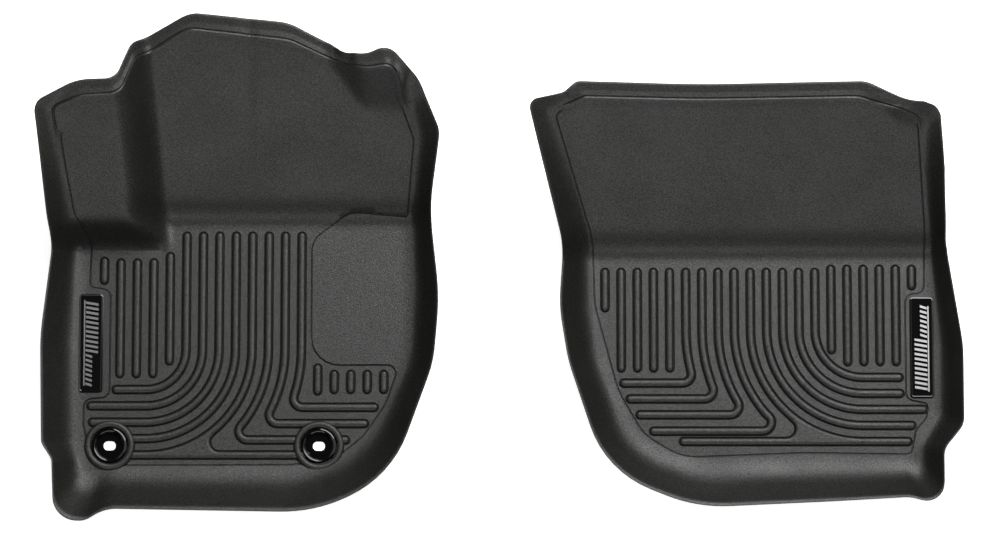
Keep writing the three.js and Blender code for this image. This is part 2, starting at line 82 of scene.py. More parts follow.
PASSENGER_CORNERS = np.array([
    (34, 203, 11, 64, 193, 10, 16), (78, 214, 19, 89, 203, 18, 8),
    (94, 228, 14, 105, 209, 13, 5), (247, 224, 1875, 247, 206, 1875, 5),
    (452, 228, 38, 442, 209, 31, 5), (501, 205, 75, 477, 200, 75, 8),
    (544, 198, 18, 520, 185, 15, 12), (550, 127, 125, 526, 132, 100, 26),
    (554, 36, 75, 537, 37, 75, 40), (574, -90, 188, 548, -83, 188, 45),
    (574, -189, 26, 547, -170, 22, 44), (549, -219, 26, 523, -210, 18, 42),
    (549, -290, 22, 523, -245, 12, 40), (506, -279, 50, 500, -236, 20, 40),
    (413, -284, 375, 397, -235, 375, 38), (243, -292, 188, 245, -237, 138, 38),
    (130, -247, 129, 165, -211, 92, 40), (84, -109, 188, 121, -99, 150, 45),
    (73, -40, 188, 114, -32, 188, 44), (78, 33, 100, 112, 48, 150, 40),
], float)
# Corners of the border line, x, y and radius, also clockwise from the far left.
DRIVER_STEP = np.array([
    (-547, 189, 8), (-515, 202, 45), (-465, 204, 12), (-445, 252, 15), (-385, 287, 19),
    (-259, 274, 45), (-205, 251, 40), (-190, 244.5, 40), (-164, 239, 40), (-131, 243, 14),
    (-123.5, 209, 36), (-106, 166, 20),
    (-115, 78, 4), (-188, 84, 34), (-234, 50, 28), (-234, -107, 34), (-124, -106.5, 12),
    (-141, -157, 90), (-169, -198, 34), (-201, -224, 40), (-226, -231, 30), (-262, -234.5, 30),
    (-508, -235, 22), (-519, -182, 10),
    (-519, -150, 12), (-487, -147, 9), (-487, -14, 9), (-513, -10, 8), (-511, 46, 20),
    (-529, 72, 20), (-537, 119, 100),
], float)
PASSENGER_STEP = np.array([
    (67, 190, 8), (90, 200, 17), (106, 206, 11), (247, 203, 1800), (441, 206, 30),
    (475, 197, 60), (517, 182.5, 12), (522.5, 132, 90), (531, 50, 60), (530, -18.5, 11),
    (506.5, -19, 10), (506.5, -150, 9), (534, -155.5, 7), (531, -176, 14), (518, -190, 14),
    (512, -221, 9), (380, -219, 500), (226, -225, 70), (178, -196, 60), (146, -140, 120),
    (117, -32, 120), (115, 46, 90),
], float)


def ease(value, knee):
    """0 below -knee and the value itself above +knee, with a parabola that joins the two."""
    bend = (np.clip(value, -knee, knee) + knee) ** 2 / (4 * knee)
    return np.where(value > knee, value, bend)


def higher(a, b, knee):
    """The higher of two surfaces, blended where they cross."""
    return b + ease(a - b, knee)


def lower(a, b, knee):
    """The lower of two surfaces, blended where they cross."""
    return a - ease(a - b, knee)


def toe_board(y, start):
    """Leaves the floor at 45 degrees near start, and eases to 33 degrees 22 mm further on."""
    return FLOOR + ease(y - start, 10) - 0.36 * ease(y - start - 22, 8)


def driver_base(x, y):
    """Toe board, or the footrest where that is higher, plus a raised corner at the far right.

    The footrest is the lowest of a face, a side plane and a riser, and the corner is a plateau
    24 mm up. A shallow soft groove runs up the toe board.
    """
    board = toe_board(y, 77)
    side = board + 1.65 * (-417.5 - 0.086 * (y - 54) - x)
    face = FLOOR + 52.5 + 0.67 * (y - 61)
    riser = FLOOR + 2.7 * (y - 42)
    footrest = lower(lower(face, side, 20), riser, 16)
    slope = lower(0.62 * (y - 202), 0.8 * (x + 232 - 0.75 * (285 - y)), 8)
    ear = ease(lower(24, slope, 8), 5)
    groove = 1.6 * np.exp(-((x + 313 - 0.04 * (y - 200)) / 9) ** 2) * np.clip((y - 140) / 60, 0, 1)
    return lower(higher(footrest, board, 14) + ear, FLOOR + 167.5, 10) - groove


def passenger_base(x, y):
    """Toe board, with a plateau 14 mm up at its far right corner."""
    slope = lower(0.6 * (y - 180), 0.6 * (x - 468 - 0.8 * (210 - y)), 6)
    return toe_board(y, 35) + ease(lower(14, slope, 6), 5)


def wall_profile(t, rise):
    """Share of a wall's height at t, 0 at the foot and 1 at the rim.

    A tall wall has a wide fillet, a slope and a flat lip. A flange steps up out of a crease, lies
    flat and then climbs to its lip. Walls from 6 to 14 mm high are a blend of the two.
    """
    tall = (ease(t - 0.24, 0.24) - 0.9 * ease(t - 0.93, 0.05)) / (0.76 - 0.9 * 0.07)
    flange = np.interp(t, [0, 0.03, 0.1, 0.45, 0.85, 0.9, 1],
                       [-0.28, -0.28, 0.22, 0.42, 0.93, 0.97, 0.97])
    blend = np.clip((14 - rise) / 8, 0, 1)
    return tall * (1 - blend) + flange * blend


def unit(vectors):
    """Vectors of length one."""
    return vectors / np.linalg.norm(vectors, axis=-1, keepdims=True)


def fillet(before, corner, after, radius, steps):
    """Arc that rounds each corner: its centre is on the bisector, its ends are where it touches."""
    back, on = unit(before - corner), unit(after - corner)
    half = np.arccos((back * on).sum(-1)) / 2
    middle = corner + unit(back + on) * (radius / np.sin(half))[..., None]
    run = (radius / np.tan(half))[..., None]
    start, end = corner + back * run - middle, corner + on * run - middle
    first = np.arctan2(start[..., 1], start[..., 0])
    turn = (np.arctan2(end[..., 1], end[..., 0]) - first + np.pi) % (2 * np.pi) - np.pi
    angle = first[..., None] + turn[..., None] * np.linspace(0, 1, steps + 1)
    spoke = np.stack([np.cos(angle), np.sin(angle)], -1) * np.asarray(radius)[..., None, None]
    return middle[..., None, :] + spoke


def bowed(start, end, steps):
    """Points between two ends, bowed 0.03 mm to the left so that no three of them lie in line."""
    share = np.linspace(0, 1, steps + 1)[1:-1, None]
    left = unit(np.array([start[1] - end[1], end[0] - start[0]]))
    return start + (end - start) * share + 0.12 * share * (1 - share) * left


def rounded_loop(rows, steps, arc_steps=ARC_STEPS):
    """Closed outline: each corner's arc, then a straight in the given number of steps."""
    corner = rows[:, :2]
    arcs = fillet(np.roll(corner, 1, 0), corner, np.roll(corner, -1, 0), rows[:, 2], arc_steps)
    ends = np.roll(arcs, -1, 0)[:, 0]
    return np.concatenate([part for arc, end, count in zip(arcs, ends, steps)
                           for part in (arc, bowed(arc[-1], end, count))])


def straight_steps(corner, longest):
    """Steps along each straight, from the distance between its corners."""
    reach = np.linalg.norm(np.roll(corner, -1, 0) - corner, axis=1)
    return np.maximum(1, np.ceil(reach / longest)).astype(int)


def inside(loop, points):
    """Which plan points lie inside a loop: a ray to the right crosses it an odd number of times."""
    (ax, ay), (bx, by) = loop.T, np.roll(loop, 1, 0).T
    x, y = points.T[:, :, None]
    with np.errstate(divide="ignore", invalid="ignore"):
        meets = x < (bx - ax) * (y - ay) / (by - ay) + ax
    return (meets & ((ay > y) != (by > y))).sum(1) % 2 == 1


def inset(loop, distance):
    """A clockwise loop moved inward: each point shifts at right angles to its neighbours' line."""
    along = unit(np.roll(loop, -1, 0) - np.roll(loop, 1, 0))
    return loop + distance * np.stack([along[:, 1], -along[:, 0]], 1)


def circle(centre, radius, count):
    """Points round a circle, the first on +X."""
    angle = np.linspace(0, 2 * np.pi, count, endpoint=False)
    return np.asarray(centre) + radius * np.stack([np.cos(angle), np.sin(angle)], 1)


def grid_triangles(rows, columns, loop=False):
    """Triangles of a grid whose columns close into a ring, and its rows too if it is a loop."""
    row = np.arange(rows if loop else rows - 1)[:, None]
    column = np.arange(columns)[None]
    a, b = row * columns + column, row * columns + (column + 1) % columns
    c, d = (a + columns) % (rows * columns), (b + columns) % (rows * columns)
    return np.concatenate([np.stack(t, -1).reshape(-1, 3) for t in ((a, b, d), (a, d, c))])


def vertex_normals(points, triangles):
    """Unit normals: the area-weighted sum of the triangles round each point."""
    a, b, c = points[triangles].transpose(1, 0, 2)
    face = np.cross(b - a, c - a)
    total = np.zeros_like(points)
    for corner in triangles.T:
        np.add.at(total, corner, face)
    return unit(total)


def wind_outward(points, triangles):
    """Turns a closed body's triangles so that its signed volume is positive."""
    a, b, c = points[triangles].transpose(1, 0, 2)
    return triangles if (a * np.cross(b, c)).sum() > 0 else triangles[:, ::-1]


def joined(bodies):
    """Several bodies' points and triangles as one pair of arrays."""
    starts = np.cumsum([0] + [len(points) for points, _ in bodies[:-1]])
    return (np.concatenate([points for points, _ in bodies]),
            np.concatenate([triangles + start for (_, triangles), start in zip(bodies, starts)]))


def make_piece(name, bodies, body, finish, stands_for=()):
    """Makes one object of closed bodies in millimetres, and says what it rides on and replaces.

    Edges that turn by more than half a radian stay sharp.
    """
    points, triangles = joined(
        [(points, wind_outward(points, triangles)) for points, triangles in bodies])
    used, triangles = np.unique(triangles, return_inverse=True)
    points, triangles = points[used], triangles.reshape(-1, 3)
    mesh = bpy.data.meshes.new(name)
    mesh.from_pydata((points * 0.001).tolist(), [], triangles.tolist())
    cleaned = bmesh.new()
    cleaned.from_mesh(mesh)
    bmesh.ops.remove_doubles(cleaned, verts=cleaned.verts, dist=2e-6)
    for edge in cleaned.edges:
        edge.smooth = len(edge.link_faces) == 2 and edge.calc_face_angle(0) < 0.5
    cleaned.to_mesh(mesh)
    cleaned.free()
    mesh.shade_smooth()
    mesh.materials.append(finish)
    piece = bpy.data.objects.new(name, mesh)
    bpy.context.scene.collection.objects.link(piece)
    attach(piece, body)
    if stands_for:
        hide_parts(*stands_for)


def linear(hex_colour):
    """An sRGB hex colour as linear RGBA."""
    share = np.array([int(hex_colour[k:k + 2], 16) for k in (0, 2, 4)]) / 255
    curve = np.where(share <= 0.04045, share / 12.92, ((share + 0.055) / 1.055) ** 2.4)
    return (*curve.tolist(), 1.0)


def add_node(tree, kind, inputs, **settings):
    """Adds one node; each input takes a value, or the socket that feeds it."""
    added = tree.nodes.new("ShaderNode" + kind)
    for name, value in settings.items():
        setattr(added, name, value)
    for name, value in inputs.items():
        if isinstance(value, bpy.types.NodeSocket):
            tree.links.new(value, added.inputs[name])
        else:
            added.inputs[name].default_value = value
    return added


def new_finish(name):
    """A material with an empty tree."""
    finish = bpy.data.materials.new(name)
    finish.use_nodes = True
    finish.node_tree.nodes.clear()
    return finish, finish.node_tree


def grained_tpo(name, colour, scuff):
    """Injection-moulded TPO from a textured tool: soft black with a fine pebble grain.

    The real grain is about 0.8 mm; it is drawn at 1.4 mm so that it shows. Handling leaves faint,
    slightly shinier and slightly greyer patches some 60 mm across.
    """
    finish, tree = new_finish(name)
    place = add_node(tree, "TexCoord", {}).outputs["Object"]
    pebble = add_node(tree, "TexVoronoi", {"Vector": place, "Scale": 1 / 0.0014, "Randomness": 1.0},
                      feature="SMOOTH_F1")
    fleck = add_node(tree, "TexNoise", {"Vector": place, "Scale": 1 / 0.0014, "Detail": 2.0})
    patch = add_node(tree, "TexNoise", {"Vector": place, "Scale": 1 / 0.06, "Detail": 3.0})
    grain = add_node(tree, "Math", {0: pebble.outputs["Distance"], 1: fleck.outputs["Fac"]},
                     operation="ADD")
    bump = add_node(tree, "Bump", {"Height": grain.outputs[0], "Strength": 0.35,
                                   "Distance": 0.0004})
    tone = add_node(tree, "MapRange", {"Value": fleck.outputs["Fac"], "From Min": 0.3,
                                       "From Max": 0.7, "To Min": 0.0, "To Max": 1.0})
    shade = add_node(tree, "Mix", {"Factor": tone.outputs[0], 6: linear(colour),
                                   7: linear(scuff)}, data_type="RGBA")
    sheen = add_node(tree, "MapRange", {"Value": patch.outputs["Fac"], "From Min": 0.3,
                                        "From Max": 0.7, "To Min": 0.53, "To Max": 0.47})
    glint = add_node(tree, "MapRange", {"Value": fleck.outputs["Fac"], "From Min": 0.3,
                                        "From Max": 0.7, "To Min": 0.3, "To Max": 0.75})
    surface = add_node(tree, "BsdfPrincipled", {
        "Base Color": shade.outputs[2], "Roughness": sheen.outputs[0], "IOR": 1.49,
        "Specular IOR Level": glint.outputs[0], "Normal": bump.outputs[0]})
    add_node(tree, "OutputMaterial", {"Surface": surface.outputs[0]})
    return finish


def distance_to(path, points):
    """Distance from each point to a path: to the nearest spot on any of its segments."""
    start, run = path[:-1], np.diff(path, axis=0)
    share = ((points[:, None] - start) * run).sum(-1) / (run ** 2).sum(-1)
    nearest = start + np.clip(share, 0, 1)[..., None] * run
    return np.linalg.norm(points[:, None] - nearest, axis=-1).min(1)


def rib_outline(path, reach):
    """The loop at a given distance from a path, with a half circle round each end."""
    along = unit(np.gradient(path, axis=0))
    side = np.stack([-along[:, 1], along[:, 0]], 1)
    turn = np.linspace(0, np.pi, 9)[1:-1, None]
    end_cap = np.cos(turn) * side[-1] + np.sin(turn) * along[-1]
    start_cap = -np.cos(turn) * side[0] - np.sin(turn) * along[0]
    spine = np.concatenate([path, np.repeat(path[-1:], len(turn), 0),
                            path[::-1], np.repeat(path[:1], len(turn), 0)])
    return spine + reach * np.concatenate([side, end_cap, -side[::-1], start_cap])


def rim_rises(corners, rim, steps):
    """Height of the wall at each station: each corner's own, eased along the rim in between."""
    travel = np.cumsum(np.linalg.norm(rim - np.roll(rim, 1, 0), axis=1))
    keys = travel[np.cumsum([0, *(steps[:-1] + ARC_STEPS)]) + ARC_STEPS // 2]
    before = np.searchsorted(keys, travel, "right")
    keys = np.concatenate([[keys[-1] - travel[-1]], keys, [keys[0] + travel[-1]]])
    heights = corners[np.arange(-1, len(corners) + 1) % len(corners), 6]
    share = (travel - keys[before]) / (keys[before + 1] - keys[before])
    return heights[before] + (heights[before + 1] - heights[before]) * (
        0.5 - 0.5 * np.cos(np.pi * share))


def wall_grid(foot, rim, rise, swell, base):
    """Rings of points from a wall's foot to its lip, and on over the turned edge.

    A point runs straight from foot to lip with t, and rises by the wall's profile above the base at
    its foot. The swell is added in full at the foot, with the floor's slope there, and dies out up
    the wall with the cube of 1 - t.
    """
    outward = unit(rim - foot)
    lip = rim - LIP * outward
    width = np.linalg.norm(lip - foot, axis=1)
    t = np.concatenate([(0, 0.03, 0.07, 0.1), np.linspace(0.15, 0.83, 12), np.linspace(0.86, 1, 7)])
    t = t[:, None]
    level = base(*foot.T) + rise * wall_profile(t, rise)
    level = level + swell * (1 + (2 * width / SWELL["reach"] + 3) * t) * (1 - t) ** 3
    wall = np.dstack([foot + (lip - foot) * t[:, :, None], level])
    turned_edge = np.dstack([lip + LIP_TURN[:, :1, None] * outward, level[-1] + LIP_TURN[:, 1:]])
    return np.concatenate([wall, turned_edge])


def floor_plan(foot, line, holes, rib_lines):
    """Plan points inside a wall's foot, and the triangles that join them.

    Loops carry the shape: the foot, the border's section, the holes, both sides of the groove round
    each rib, and the crease of a flange. A staggered lattice fills what they leave, and a Delaunay
    triangulation that keeps the loops joins it all. Where loops cross, it adds a point.
    """
    low, high = foot.min(0), foot.max(0)
    row, column = np.mgrid[0:(high[1] - low[1]) / LATTICE, 0:(high[0] - low[0]) / LATTICE]
    field = np.stack([column + 0.5 * (row % 2), row], -1).reshape(-1, 2) * LATTICE + low
    field = field[inside(foot, field)]
    guides = np.concatenate([foot, line, *holes])
    gap = np.sqrt(((field[:, None] - guides) ** 2).sum(-1).min(1))
    field = field[gap > 0.62 * LATTICE]
    to_rib = np.min([distance_to(path, field) for path in rib_lines], axis=0)
    field = field[to_rib > RIB_RADIUS + GROOVE["edge"] + 1]
    border = [inset(line, distance) for distance, _ in BORDER_SECTION]
    channels = [rib_outline(path, RIB_RADIUS + GROOVE[edge])
                for path in rib_lines for edge in ("bottom", "edge")]
    loops = [foot, *border, *holes, *channels, inset(foot, CREASE)]
    plan = np.concatenate([*loops, field])
    starts = np.cumsum([0] + [len(loop) for loop in loops])
    edges = np.concatenate([
        start + np.stack([np.arange(len(loop)), (np.arange(len(loop)) + 1) % len(loop)], 1)
        for start, loop in zip(starts, loops)])
    made = geometry.delaunay_2d_cdt([Vector(p) for p in plan.tolist()], edges.tolist(), [], 0, 1e-5)
    crossing = [k for k, origin in enumerate(made[3]) if not origin]
    source = np.array([origin[0] if origin else 0 for origin in made[3]])
    source[crossing] = len(plan) + np.arange(len(crossing))
    plan = np.concatenate([plan, np.array([made[0][k][:] for k in crossing]).reshape(-1, 2)])
    filling = source[np.array(made[2])]
    middle = plan[filling].mean(1)
    kept = inside(foot, middle)
    for hole in holes:
        kept &= ~inside(hole, middle)
    return plan, filling[kept]


def panel_depth(plan, foot, line, rise, rib_lines):
    """How far each plan point lies below the base.

    The step inside the border line and the border's section on its own loops, both fading out 9 to
    5 mm from the foot of a flange, and then a groove with a sloped side along each rib.
    """
    depth = STEP * inside(inset(line, 0.5), plan)
    drops = np.repeat([drop for _, drop in BORDER_SECTION], len(line))
    depth[len(foot):len(foot) + len(drops)] = drops
    to_flange = np.sqrt(((plan[:, None] - foot[rise < TALL]) ** 2).sum(-1).min(1))
    depth *= np.clip((to_flange - 5) / 4, 0, 1)
    beside = np.min([distance_to(path, plan) for path in rib_lines], axis=0) - RIB_RADIUS
    slope = (GROOVE["edge"] - beside) / (GROOVE["edge"] - GROOVE["bottom"])
    return depth + GROOVE["depth"] * np.clip(slope, 0, 1)


def sheet(corners, base, step_rows, anchors, rib_lines):
    """One liner's closed sheet.

    The upper skin is the wall's grid and the floor inside its foot, which lies on the base, raised
    near a tall wall by a swell that falls off with the square of the distance. The underside is the
    same skin moved one thickness along its normals, or mirrored straight down at the lip. The
    panel's depth is then taken off the upper skin alone, and a band closes the open borders.
    """
    steps = straight_steps(corners[:, :2], STATION_STEP)
    rim = rounded_loop(corners[:, :3], steps)
    foot = rounded_loop(corners[:, 3:6], steps)
    rise = rim_rises(corners, rim, steps)
    swell = SWELL["rise"] * np.clip((rise - TALL) / 20, 0, 1)
    wall = wall_grid(foot, rim, rise, swell, base)
    rings, stations = wall.shape[:2]

    line = rounded_loop(step_rows, straight_steps(step_rows[:, :2], STATION_STEP), 6)
    holes = [circle(centre, ANCHOR_HOLE, 48) for centre in anchors]
    plan, filling = floor_plan(foot, line, holes, rib_lines)
    to_foot = distance_to(np.concatenate([foot, foot[:1]]), plan)
    nearest = ((plan[:, None] - foot) ** 2).sum(-1).argmin(1)
    lift = swell[nearest] * np.clip(1 - to_foot / SWELL["reach"], 0, 1) ** 2
    inner = np.column_stack([plan, base(*plan.T) + lift])[stations:]

    top = np.concatenate([wall[::-1].reshape(-1, 3), inner])
    skin = np.concatenate([grid_triangles(rings, stations), filling + (rings - 1) * stations])
    a, b, c = top[skin].transpose(1, 0, 2)
    flip = np.cross((b - a)[:, :2], (c - a)[:, :2]) < 0
    skin[flip] = skin[flip][:, ::-1]
    under = top - SKIN * vertex_normals(top, skin)
    turned_rings = 1 + len(LIP_TURN)
    lip = turned_rings * stations
    lip_level = np.tile(wall[-turned_rings, :, 2], turned_rings)
    under[:lip] = top[:lip]
    under[:lip, 2] = 2 * lip_level - SKIN - top[:lip, 2]
    depth = panel_depth(plan, foot, line, rise, rib_lines)
    top[rings * stations:, 2] -= depth[stations:]

    count = len(top)
    side = skin[:, [0, 1, 1, 2, 2, 0]].reshape(-1, 2)
    border = side[~np.isin(side @ (count, 1), side @ (1, count))]
    a, b = border.T
    closing = np.concatenate([np.stack([b, a, a + count], 1),
                              np.stack([b, a + count, b + count], 1)])
    return (np.concatenate([top, under]),
            np.concatenate([skin, skin[:, ::-1] + count, closing]))


black_tpo = grained_tpo("moulded_black_tpo", "090908", "1e1d1b")

# ---- Drainage ribs and wedges --------------------------------------------------------------------
# Rounded ribs moulded in one with each sheet keep shoes above the water. Straight columns run
# towards the seat, swept ones turn out to the side round one centre, and the last few leave that
# arc at a rounded corner and run back. A wedge between the two families is filled to rib height.

RIB_RISE = 3.3  # above the panel
RIB_SINK = 1.5  # how far a rib reaches into the sheet
RETURN_RADIUS = 11.0  # the corner where a returned rib leaves its arc
WEDGE_RADIUS = 16.0  # the same corner of the wedge
WEDGE_ANGLE = 0.86  # where the wedge leaves its swept rib, in radians below level
PANEL = FLOOR - STEP
COLLAR_CUT = 27.0  # ribs end under the raised collars

DRIVER_RIBS = {
    "first": -494.2, "pitch": 20.55, "sweep": -1, "centre": (-441.1, -89.0), "far": 60,
    "short": [((0,), 28, -5), ((1, 2, 3), 26, -123), ((4,), 34, -107), ((13,), -107, -145),
              ((14, 15, 16, 17), -115, -143)],
    "swept": [(5, -478), (6, -509), (7, -507), (8, -470), (9, -470)],
    "returned": [(10, -202, -192), (11, -181.5, -168.5), (12, -161, -156.5)],
    "wedge": (9, -240),
}
PASSENGER_RIBS = {
    "first": 131.0, "pitch": 20.15, "sweep": 1, "centre": (451.3, -65.0), "far": 14,
    "short": [((0,), 14, -40), ((1, 2, 3, 4), 14, -116), ((14,), 18, -93),
              ((15, 16, 17, 18), 18, -108), ((19,), 18, -12)],
    "swept": [(9, 507), (10, 512), (11, 527), (12, 498), (13, 497)],
    "returned": [(5, -130.5, 154), (6, -150.5, 162), (7, -170.5, 174), (8, -191, 191)],
    "wedge": (9, 228),
}


def column_arc(layout, radius, start, end, step=3.0):
    """Arc of a column round the shared centre, between two angles below level."""
    angle = np.linspace(start, end, max(2, int(abs(end - start) * radius / step) + 1))
    x, y = layout["centre"]
    return np.stack([x - layout["sweep"] * radius * np.cos(angle), y - radius * np.sin(angle)], 1)


def rib_paths(layout):
    """The middle line of every rib of a liner."""
    centre = np.array(layout["centre"])
    far = layout["far"] - RIB_RADIUS
    paths = []
    for columns, start, end in layout["short"]:
        paths += [np.array([(layout["first"] + k * layout["pitch"], start - RIB_RADIUS),
                            (layout["first"] + k * layout["pitch"], end + RIB_RADIUS)])
                  for k in columns]
    for k, tail in layout["swept"]:
        x = layout["first"] + k * layout["pitch"]
        radius = abs(x - centre[0])
        paths.append(np.concatenate([[(x, far)], column_arc(layout, radius, 0, np.pi / 2),
                                     [(tail, centre[1] - radius)]]))
    for k, line, tail in layout["returned"]:
        x = layout["first"] + k * layout["pitch"]
        radius = abs(x - centre[0])
        meet = np.arcsin((centre[1] - line) / radius)
        run = RETURN_RADIUS / np.tan(np.pi / 4 - meet / 2)
        corner = column_arc(layout, radius, meet, meet)[0]
        arc = column_arc(layout, radius, 0, meet - (run + 0.3) / radius)
        bend = fillet(arc[-1], corner, np.array([tail, line]), np.array(RETURN_RADIUS), 10)
        paths.append(np.concatenate([[(x, far)], arc, bend, [(tail, line)]]))
    return paths


def evenly(path, step):
    """A path with points added along its long straights."""
    reach = np.linalg.norm(np.diff(path, axis=0), axis=1)
    return np.concatenate([np.linspace(a, b, int(np.ceil(r / step)) + 1)[:-1]
                           for a, b, r in zip(path, path[1:], reach)] + [path[-1:]])


def clear_runs(path, centres, radius):
    """The stretches of a path that lie outside the given circles."""
    path = evenly(path, 3.0)
    clear = np.all([np.linalg.norm(path - c, axis=1) > radius for c in centres], axis=0)
    breaks = np.flatnonzero(np.diff(clear.astype(int))) + 1
    runs = [run for run, ok in zip(np.split(path, breaks), np.split(clear, breaks)) if ok[0]]
    return [run for run in runs if len(run) > 1]


def bead(path):
    """A rounded rib: outlines at growing distance from its line, then straight down into the sheet.

    Distance and height follow a superellipse, from a broad crown to steep sides.
    """
    lean = np.linspace(0, np.pi / 2, 8)
    reach = RIB_RADIUS * np.append(np.sin(lean) ** 0.8, [1, 0])
    height = PANEL + np.append(RIB_RISE * np.cos(lean), [-RIB_SINK, -RIB_SINK])
    rings = [np.column_stack([outline, np.full(len(outline), z)])
             for z, outline in zip(height, (rib_outline(path, r) for r in reach))]
    return np.concatenate(rings), grid_triangles(len(rings), len(rings[0]))


def prism(outline, bottom, top):
    """A plan outline as a closed slab, its two faces filled by triangles."""
    count = len(outline)
    points = np.concatenate([np.column_stack([outline, np.full(count, z)]) for z in (bottom, top)])
    cap = np.array(geometry.tessellate_polygon([[Vector(p) for p in points[count:].tolist()]]))
    a, b = np.arange(count), (np.arange(count) + 1) % count
    p, q, r = points[cap].transpose(1, 0, 2)
    upward = np.cross(q - p, r - p)[:, 2] > 0
    cap[~upward] = cap[~upward][:, ::-1]
    around = np.concatenate([np.stack([a, b, b + count], 1),
                             np.stack([a, b + count, a + count], 1)])
    x, y = outline.T
    if (x * np.roll(y, -1) - y * np.roll(x, -1)).sum() < 0:
        around = around[:, ::-1]
    return points, np.concatenate([around, cap + count, cap[:, ::-1]])


def wedge_lines(layout):
    """The arc that a wedge leaves, the rounded corner opposite, and the line back."""
    k, tail = layout["wedge"]
    centre = np.array(layout["centre"])
    radius = abs(layout["first"] + k * layout["pitch"] - centre[0])
    arc = column_arc(layout, radius, WEDGE_ANGLE, np.pi / 2)
    line = centre[1] - radius
    corner = np.array([arc[0, 0] + layout["sweep"] * 34, line])
    bend = fillet(arc[0], corner, np.array([tail, line]), np.array(WEDGE_RADIUS), 14)
    back = np.array([(arc[-1, 0] + 0.7, line), (tail, line)])
    return arc, evenly(np.concatenate([arc[:1], bend]), 3), evenly(back, 6)


def ribs(layout, centres):
    """The lines of all the ribs, ended where a collar covers them, and the ribs themselves."""
    arc, corner, back = wedge_lines(layout)
    lines = rib_paths(layout)
    if centres:
        lines = [run for path in lines for run in clear_runs(path, centres, COLLAR_CUT)]
    lines += [corner, back]
    slab = np.concatenate([arc, corner[:0:-1]])
    return lines, [*map(bead, lines), prism(slab, PANEL - RIB_SINK + 0.1, PANEL + RIB_RISE - 0.02)]


# Each sheet needs the lines of its ribs, because its grooves run beside them.
driver_lines, driver_ribs = ribs(DRIVER_RIBS, list(ANCHORS.values()))
passenger_lines, passenger_ribs = ribs(PASSENGER_RIBS, [])
driver_sheet = sheet(DRIVER_CORNERS, driver_base, DRIVER_STEP, ANCHORS.values(), driver_lines)
passenger_sheet = sheet(PASSENGER_CORNERS, passenger_base, PASSENGER_STEP, (), passenger_lines)

# ---- Raised collars round the anchor holes -------------------------------------------------------
# A round bead is moulded round each hole in one with the driver's sheet, so that the grommet
# inside it doesn't catch a heel. The collars complete the driver's moulding.

COLLAR = np.array([(22.9, 2.4), (22.9, 5.6), (23.5, 7.2), (24.8, 8.3), (26.6, 8.7), (28.2, 8.6),
                   (29.8, 7.9), (30.9, 6.6), (31.5, 4.9), (31.7, 3.4), (31.7, 2.4)])


def turned(profile, centre, count=96):
    """A closed profile of radius and height, carried round a vertical axis."""
    spoke = circle((0, 0), 1, count)
    rings = np.dstack([spoke * profile[:, :1, None] + centre,
                       np.broadcast_to(profile[:, 1:], (len(profile), count))])
    return rings.reshape(-1, 3), grid_triangles(len(profile), count, loop=True)


collars = [turned(COLLAR, centre) for centre in ANCHORS.values()]
make_piece("driver_liner_moulding", [driver_sheet, *driver_ribs, *collars],
           "driver_liner", black_tpo, ["driver_liner"])
make_piece("passenger_liner_moulding", [passenger_sheet, *passenger_ribs],
           "passenger_liner", black_tpo, ["passenger_liner"])

# ---- Carpet nibs ---------------------------------------------------------------------------------
# Hundreds of short blunt nibs, moulded under each sheet in the same TPO, stand on the carpet and
# grip it. They leave the walls and the grommets clear.

NIB = {"pitch": 12.0, "foot": 1.7, "tip": 0.8, "length": 1.45,
       "from_wall": 8.0, "from_anchor": 30.0}


def nibs(corners, base, anchors):
    """Six-sided frustums in staggered rows, pointing away from the underside at right angles."""
    foot = rounded_loop(corners[:, 3:6], [1] * len(corners))
    low, high = foot.min(0), foot.max(0)
    pitch = NIB["pitch"]
    row, column = np.mgrid[0:(high[1] - low[1]) / pitch * 1.15, 0:(high[0] - low[0]) / pitch]
    spot = np.stack([column + 0.5 * (row % 2), row * 0.866], -1).reshape(-1, 2) * pitch + low
    spot = spot[inside(inset(foot, NIB["from_wall"]), spot)]
    for centre in anchors:
        spot = spot[np.linalg.norm(spot - np.array(centre), axis=1) > NIB["from_anchor"]]
    x, y = spot.T
    slope_x, slope_y = base(x + 1, y) - base(x - 1, y), base(x, y + 1) - base(x, y - 1)
    down = -unit(np.stack([-slope_x / 2, -slope_y / 2, np.ones(len(x))], -1))
    across = unit(np.stack([-down[:, 2], 0 * x, down[:, 0]], -1))
    onward = np.cross(down, across)
    on_top = np.column_stack([spot, base(x, y)])
    angle = np.arange(6) * np.pi / 3
    ring = across[:, None] * np.cos(angle)[:, None] + onward[:, None] * np.sin(angle)[:, None]
    ends = [(NIB["foot"], SKIN - 0.4), (NIB["tip"], SKIN + NIB["length"])]
    points = np.concatenate([on_top[:, None] + down[:, None] * far + ring * radius
                             for radius, far in ends], axis=1)
    fan = np.array([(0, k, k + 1) for k in range(1, 5)])
    one = np.concatenate([grid_triangles(2, 6), fan, fan[:, ::-1] + 6])
    return points.reshape(-1, 3), (one + 12 * np.arange(len(spot))[:, None, None]).reshape(-1, 3)


make_piece("driver_liner_nibs", [nibs(DRIVER_CORNERS, driver_base, ANCHORS.values())],
           "driver_liner", black_tpo)
make_piece("passenger_liner_nibs", [nibs(PASSENGER_CORNERS, passenger_base, ())],
           "passenger_liner", black_tpo)

# ---- Grommet cups and lock rings -----------------------------------------------------------------
# Each anchor hole holds a smooth black nylon cup with a slot in its floor for the car's hook. It is
# pushed in from above and held by a ring that snaps on from below.

